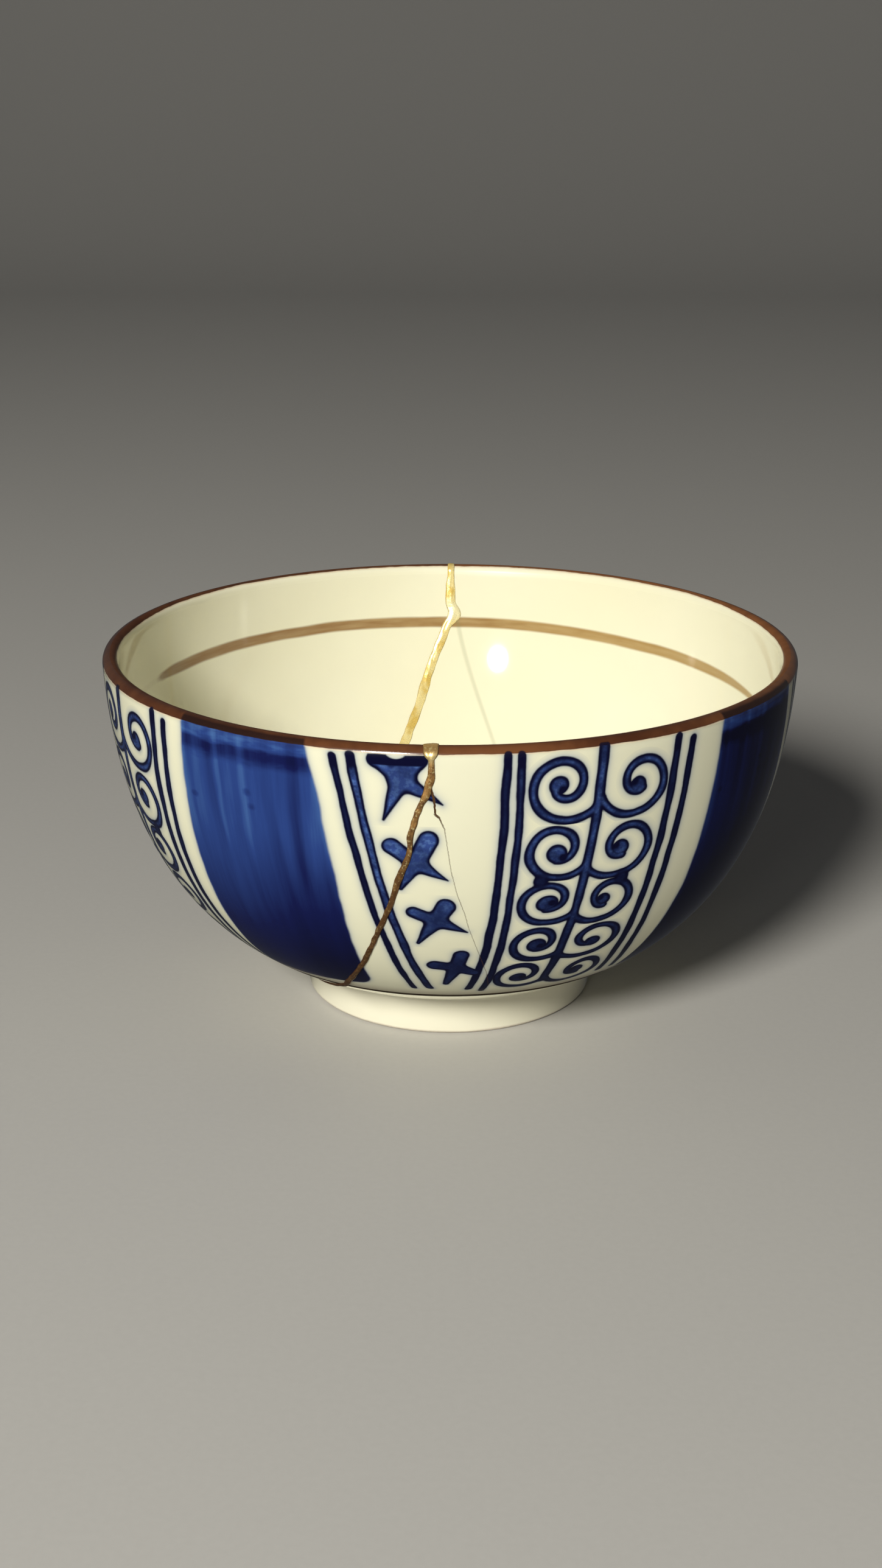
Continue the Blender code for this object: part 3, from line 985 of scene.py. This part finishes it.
def buildShard(name, outline, kinds, origin):
    # kinds says what each edge of the outline is: lip, break, bottom or join
    points, faces = fillOutline(outline, bowlShape["gridStep"], origin)
    outside, inside, _ = wallAt(points[:, 1])
    mesh = bmesh.new()
    outer = [mesh.verts.new(place) for place in swing(outside, points[:, 0])]
    inner = [mesh.verts.new(place) for place in swing(inside, points[:, 0])]
    for face in faces:
        mesh.faces.new([outer[i] for i in face]).material_index = paintedFace
        mesh.faces.new([inner[i] for i in reversed(face)]).material_index = insideFace
    lips = {}
    crown = bowlShape["lipSteps"] // 2
    for i, kind in enumerate(kinds):
        j = (i + 1) % len(outline)
        if kind == "lip":
            for k in (i, j):
                if k not in lips:
                    middle = [mesh.verts.new(place) for place in lipArc(points[k][0])]
                    lips[k] = [outer[k]] + middle + [inner[k]]
            bridge(mesh, lips[i][:crown + 1], lips[j][:crown + 1], paintedFace)
            bridge(mesh, lips[i][crown:], lips[j][crown:], insideFace)
        elif kind == "break":
            corners = (outer[i], outer[j], inner[j], inner[i])
            mesh.faces.new(corners).material_index = brokenFace
    for i, kind in enumerate(kinds):
        if {kind, kinds[i - 1]} == {"lip", "break"}:
            mesh.faces.new(lips[i]).material_index = brokenFace
    bottom = [i for i, kind in enumerate(kinds) if kind == "bottom"]
    if bottom:
        bottom.append(bottom[-1] + 1)
        bearings = points[bottom, 0]
        under, foot = outerRings()
        ring = carryOn(mesh, [outer[i] for i in bottom], bearings, under, paintedFace)
        carryOn(mesh, ring, bearings, foot, footFace)
        carryOn(mesh, [inner[i] for i in bottom], bearings, innerRings(), insideFace)
    weld(mesh)
    thing = makePiece(name, mesh, shardFinishes)
    thing.data.set_sharp_from_angle(angle=math.radians(bowlShape["sharpAngle"]))
    return thing


def rimPoints(start, end):
    # even places along the lip, without the two ends
    count = max(2, round(abs(end - start) / bowlShape["gridStep"]))
    bearings = np.linspace(start, end, count + 1)[1:-1]
    return np.stack((bearings, np.zeros_like(bearings)), 1)


def breakEdge(side):
    edge = beside(breakLine, side * seamLine["slotHalf"])
    return np.vstack((edge[:-1:2], edge[-1:]))


def leftShard():
    edge = breakEdge(1)
    rim = rimPoints(edge[-1][0], edge[0][0])
    kinds = ["break"] * (len(edge) - 1) + ["lip"] * (len(rim) + 1)
    return buildShard("leftShardGlaze", np.vstack((edge, rim)), kinds, -90.0)


def rightShard():
    edge = breakEdge(-1)
    tip = int(np.argmax(edge[:, 1]))
    front, back = edge[:tip + 1], edge[tip:] + (360, 0)
    step = bowlShape["gridStep"]
    low = bowlShape["lowestTriangle"]
    join = np.arange(edge[tip][1] + step, low - 0.3 * step, step)
    down = np.stack((np.full_like(join, back[0][0]), join), 1)
    bearings = np.linspace(back[0][0], front[-1][0], round(360 / step) + 1)
    across = np.stack((bearings, np.full_like(bearings, low)), 1)
    rim = rimPoints(front[0][0], back[-1][0])
    outline = np.vstack((rim, back[::-1], down, across, down[::-1] - (360, 0), front[::-1]))
    kinds = []
    for kind, count in (("lip", len(rim)), ("break", len(back) - 1), ("join", len(down) + 1),
                        ("bottom", len(across) - 1), ("join", len(down) + 1),
                        ("break", len(front) - 1), ("lip", 1)):
        kinds += [kind] * count
    return buildShard("rightShardGlaze", outline, kinds, front[-1][0])


leftPiece = leftShard()
rightPiece = rightShard()

# The gilt seam

seamShape = {
    "half": 0.48 * mm,  # half its width at the top of the outside
    "lowHalf": 0.50 * mm,  # and lower down
    "swollen": (5.6, 2.2, (0.14 * mm, 0.14 * mm)),  # outside the front: middle, reach, extra half
    "insideHalf": 0.95 * mm,
    "crest": 0.29 * mm,  # how proud it stands
    "sink": 0.06 * mm,  # its feet, under the glaze's surface
    "wander": 0.12 * mm,  # of each edge, in waves of two lengths
    "waves": (4.2 * mm, 1.5 * mm),
    "lump": 0.10 * mm,
    # creases and pebbles: length along the seam, step across it, seed and share of a lump
    "lumps": ((2.6 * mm, 0.55, 3.1, 0.9), (0.9 * mm, 0.30, 5.7, 0.6)),
    "roundness": 0.75,
    "most": 0.38 * mm,  # no lump stands higher
    "arcSteps": 14,
    "lipFront": (1.22 * mm, 0.5),  # half its width over the lip, fading by this depth
    "lipBack": (0.66 * mm, 3.2),
    "lipRise": 0.35,  # how far up the lip the fading starts
    "lipFlat": 0.45,  # how much lower the bead is on top of the lip
    "lipAngles": (10, 20, 30, 40, 50, 60, 70, 80, 90),
    # inside the back: depth and reach in mm, and how much wider to each side
    "blob": (8.7, 1.2, (0.10 * mm, 0.62 * mm)),
}


def wobble(travel, seed, wavelength):
    # smooth noise between -1 and 1 along the seam
    return noise.noise(Vector((travel / wavelength, seed * 7.3, seed * 1.7))) * 2


def seamRing(base, out, aside, halves, crest, web, travel, seed, calm):
    # half a section: from the web's left side over the bead to the web's right side
    shape = seamShape
    steps = shape["arcSteps"]
    left, right = halves
    sink = -shape["sink"]
    points = [base - aside * web[0] + out * sink]
    for i in range(steps + 1):
        angle = math.pi * (1 - i / steps)
        x = math.cos(angle) * (right if math.cos(angle) > 0 else left)
        rise = math.sin(angle) ** shape["roundness"]
        lump = sum(noise.noise(Vector((travel / length, i * across, seed * own))) * share
                   for length, across, own, share in shape["lumps"])
        lift = crest * rise + calm * rise * shape["lump"] * lump
        lift = min(lift, shape["most"])
        points.append(base + aside * x + out * (lift if 0 < i < steps else sink))
    points.append(base + aside * web[1] + out * sink)
    return points


def seamHalves(depth, travel, atBack):
    # outside and then inside: half widths to the left and right of the seam's line
    shape = seamShape
    lipHalf, lipReach = shape["lipBack" if atBack else "lipFront"]
    low = min(1.0, max(0.0, depth) / 40)
    bases = (shape["half"] + (shape["lowHalf"] - shape["half"]) * low, shape["insideHalf"])
    bulges = (None, shape["blob"]) if atBack else (shape["swollen"], None)
    both = []
    for base, bulge, seeds in zip(bases, bulges, ((1, 2), (5, 6))):
        base += (lipHalf - base) * math.exp(-((depth + shape["lipRise"]) / lipReach) ** 2)
        halves = []
        for side, seed in enumerate(seeds):
            longWave, shortWave = shape["waves"]
            wander = wobble(travel, seed, longWave) + 0.6 * wobble(travel, seed + 9, shortWave)
            half = base + shape["wander"] * wander
            if bulge:
                place, reach, extra = bulge
                half += extra[side] * math.exp(-((depth - place) / reach) ** 2)
            halves.append(max(half, seamLine["slotHalf"] + 0.04 * mm))
        both.append(halves)
    return both


def giltSeam():
    shape = seamShape
    outer, inner, out = (swing(part, breakLine[:, 0]) for part in wallAt(breakLine[:, 1]))
    aside = unit(np.cross(out, np.gradient(outer, axis=0)))
    depths = np.interp(breakLine[:, 1], wall["drop"], wall["depth"]) / mm
    count = len(breakLine)
    slot = seamLine["slotHalf"] - 0.02 * mm

    def section(station, places, ways, bothHalves, calm):
        # a closed ring round the seam: over the outside bead, and back over the inside one
        crest = shape["crest"] * (1 - shape["lipFlat"] * (1 - calm))
        webs = ([min(slot, half - 0.05 * mm) for half in bothHalves[0]], [slot, slot])
        outBead, inBead = (
            seamRing(place, way, aside[station], halves, crest, web,
                     station * seamLine["step"], seed, calm)
            for place, way, halves, web, seed in zip(places, ways, bothHalves, webs, (1, 2)))
        return outBead + inBead[::-1]

    def overLip(station, atBack):
        # sections from the wall up to the top of the lip, where the two beads meet
        made = []
        for degrees in shape["lipAngles"]:
            angle = math.radians(degrees)
            risen = -shape["lipRise"] * min(1.0, degrees / 30)
            halves = seamHalves(risen, station * seamLine["step"], atBack)
            mixed = [[own + (other - own) * degrees / 180 for own, other in zip(*pair)]
                     for pair in (halves, halves[::-1])]
            ways = [side * out[station] * math.cos(angle) + np.array((0, 0, math.sin(angle)))
                    for side in (1, -1)]
            middle = (outer[station] + inner[station]) / 2
            places = [middle + way * bowlShape["lipRadius"] for way in ways]
            made.append(section(station, places, ways, mixed, math.cos(angle)))
        return made

    rings = overLip(0, False)[::-1]
    for i in range(count):
        halves = seamHalves(depths[i], i * seamLine["step"], i > count // 2)
        rings.append(section(i, (outer[i], inner[i]), (out[i], -out[i]), halves, 1.0))
    rings += overLip(count - 1, True)

    # how near its foot each place on the bead is, for the finish
    mesh = bmesh.new()
    foot = mesh.verts.layers.float.new("foot")
    loops = [[mesh.verts.new(point) for point in ring] for ring in rings]
    steps = shape["arcSteps"]
    across = [1.0] + [abs(math.cos(math.pi * i / steps)) for i in range(steps + 1)] + [1.0]
    for loop in loops:
        for vert, share in zip(loop, across + across):
            vert[foot] = share
    for near, far in zip(loops, loops[1:]):
        bridge(mesh, near + near[:1], far + far[:1])
    weld(mesh)
    return makePiece("goldSeamBead", mesh, [giltLacquer()])


giltColours = {
    "lacquer": (0.120, 0.046, 0.018),  # outside: dark brown, painted as shade lower down and along the bead's edges
    "dull": (0.240, 0.120, 0.042),
    "worn": (0.52, 0.285, 0.092),
    "bright": (0.82, 0.58, 0.150),  # inside, and on the lip: a brighter copy, painted where the gilding catches the light
    "pale": (1.0, 0.84, 0.40),
    "knobHighlight": (1.0, 0.91, 0.56),
}


def giltLacquer():
    finish = Finish("giltLacquer", {})
    place, depth, around, colours = finish.place, finish.depth, finish.around, giltColours
    # outside or inside: the wall's middle radius at this height
    radii, heights = (wall["outside"] + wall["inside"]).T / 2
    wallMiddle = (finish.height * (mm / rimHeight)).curve(heights / rimHeight, radii / mm, 7)
    within = (finish.radius - wallMiddle).fade(0.6, -0.6)
    patchy = place.noise(700.0, 3.0)
    cloudy = place.noise(210.0)
    low = depth.fade(4.0, 44.0)
    dull = (patchy - low * 0.10).fade(0.35, 0.65).mix(colours["dull"], colours["worn"])
    # painted shade: lower down the outside, the gilt is darkened toward the lacquer brown
    dull = (low * 0.58).mix(dull, colours["lacquer"])
    bright = (cloudy * 0.7 + patchy * 0.3).fade(0.40, 0.58).mix(colours["bright"],
                                                                colours["pale"])
    # painted light: the gilt gets a bright copy inside and over the lip, and a dull brown copy
    # outside
    shine = within.atLeast(depth.fade(3.0, 1.4) * 0.55)
    colour = shine.mix(dull, bright)
    # painted highlight: the thick drop of gilding inside the back is painted near white; browner
    # gold over the front lip's top
    knobHighlight = abs(depth - seamShape["blob"][0]).fade(2.6, 1.0)
    knobHighlight = knobHighlight * within * abs(around).fade(160.0, 175.0)
    lipTop = depth.fade(1.1, 0.4) * abs(around).fade(60.0, 30.0)
    fine = place.noise(3500.0, 3.0)
    speck = place.noise(2200.0)
    specks = speck.fade(0.56, 0.66) * (1.0 - low * 0.7) * (0.55 - within * 0.45)
    # painted shade: darker along both edges of the bead, where its slopes mirror only dark
    # surroundings
    foot = finish.node("Attribute", {"attribute_name": "foot"}, {}, 2)
    bare = (foot + (patchy - 0.5) * 0.5).fade(0.80, 0.98)
    for share, key in ((knobHighlight * 0.95, "knobHighlight"), (lipTop * 0.75, "worn"), (specks, "pale"),
                       (bare * (0.75 - within * 0.30), "lacquer")):
        colour = share.mix(colour, colours[key])
    finish.drive("Metallic", 0.60 - within * 0.35)
    roughness = 0.44 - shine * 0.12 + (fine - 0.5) * 0.2 - speck * 0.08
    return finish.dress(colour, roughness, 0.6, 0.12, patchy * 0.6 + speck * 0.35 + fine * 0.25)


seamPiece = giltSeam()

for piece, node, slotName in (
        (leftPiece, "left_shard", "porcelain"),
        (rightPiece, "right_shard", "porcelain"),
        (seamPiece, "gold_seam", "gold_lacquer")):
    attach(piece, "root")
    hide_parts(node)

# Floor, light and camera

studio = {
    "floorReach": 3.0,
    "sweepStart": 1.1,  # behind the bowl, where the floor curves up
    "sweepRadius": 0.9,
    "sweepSteps": 16,
    "backHeight": 1.5,  # of the wall above the curve
    "floor": (0.54, 0.528, 0.505),
    "world": (0.80, 0.82, 0.86),
    "worldStrength": 0.055,
    # bearing, elevation, distance, size, power and colour
    "keyLight": (-22.0, 30.0, 1.30, 0.32, 18.9, (1.0, 0.975, 0.90)),
    "sparkLight": (-19.0, 12.0, 1.15, 0.130, 13.0, (1.0, 0.98, 0.92)),
}


def studioFloor():
    # one sheet that runs level under the bowl and curves up behind it
    reach, start, radius = studio["floorReach"], studio["sweepStart"], studio["sweepRadius"]
    line = [(-reach, 0.0), (-0.5, 0.0), (0.0, 0.0), (0.5, 0.0),
            *arc((start, radius), radius, -90, 0, studio["sweepSteps"]),
            (start + radius, radius + studio["backHeight"])]
    mesh = bmesh.new()
    rows = [[mesh.verts.new((x, y, z)) for x in (-reach, -0.5, 0.5, reach)] for y, z in line]
    for near, far in zip(rows, rows[1:]):
        bridge(mesh, near, far)
    finish = Finish("paleFloor", {"Roughness": 0.85})
    felt = finish.place.noise(900.0)
    finish.drive("Base Color", felt.mix(studio["floor"], scaled(studio["floor"], 0.94)))
    thing = makePiece("studioFloor", mesh, [finish.material])
    thing.visible_glossy = False  # kept out of the glaze's reflections


def studioLight(name, bearing, elevation, distance, size, power, colour):
    data = bpy.data.lights.new(name, "AREA")
    data.shape = "DISK"
    data.size = size
    data.energy = power
    data.color = colour
    thing = addObject(name, data)
    across, angle = math.radians(bearing), math.radians(elevation)
    target = Vector((0, 0, rimHeight / 2))
    way = Vector((math.sin(across) * math.cos(angle), -math.cos(across) * math.cos(angle),
                  math.sin(angle)))
    thing.location = target + way * distance
    thing.rotation_euler = way.to_track_quat("Z", "Y").to_euler()
    return thing


cameraShape = {
    "distance": 0.3826,  # from the middle of the rim's level
    "elevation": 15.25,
    "lens": 50.31,
    "pitch": 18.96,  # of its axis below the horizon
    "yaw": 0.235,
    "roll": 0.135,
}


def setCamera():
    shape = cameraShape
    data = bpy.data.cameras.new("camera")
    data.lens = shape["lens"]
    data.sensor_width = 36.0
    data.clip_start = 0.01
    data.clip_end = 20.0
    thing = addObject("camera", data)
    up = math.radians(shape["elevation"])
    away = Vector((0, -math.cos(up), math.sin(up))) * shape["distance"]
    turn = (Matrix.Rotation(math.radians(shape["yaw"]), 4, "Z")
            @ Matrix.Rotation(math.radians(90 - shape["pitch"]), 4, "X")
            @ Matrix.Rotation(math.radians(shape["roll"]), 4, "Z"))
    thing.matrix_world = Matrix.Translation(Vector((0, 0, rimHeight)) + away) @ turn
    scene.camera = thing


def setWorld():
    world = bpy.data.worlds.new("studio")
    world.use_nodes = True
    sky = world.node_tree.nodes["Background"]
    sky.inputs[0].default_value = (*studio["world"], 1.0)
    sky.inputs[1].default_value = studio["worldStrength"]
    scene.world = world


studioFloor()
# the key light shades the bowl; the small low one is what the glaze mirrors
studioLight("keyLight", *studio["keyLight"]).visible_glossy = False
studioLight("sparkLight", *studio["sparkLight"]).visible_diffuse = False
setCamera()
setWorld()
scene.view_settings.view_transform = "Standard"
print("studio set")
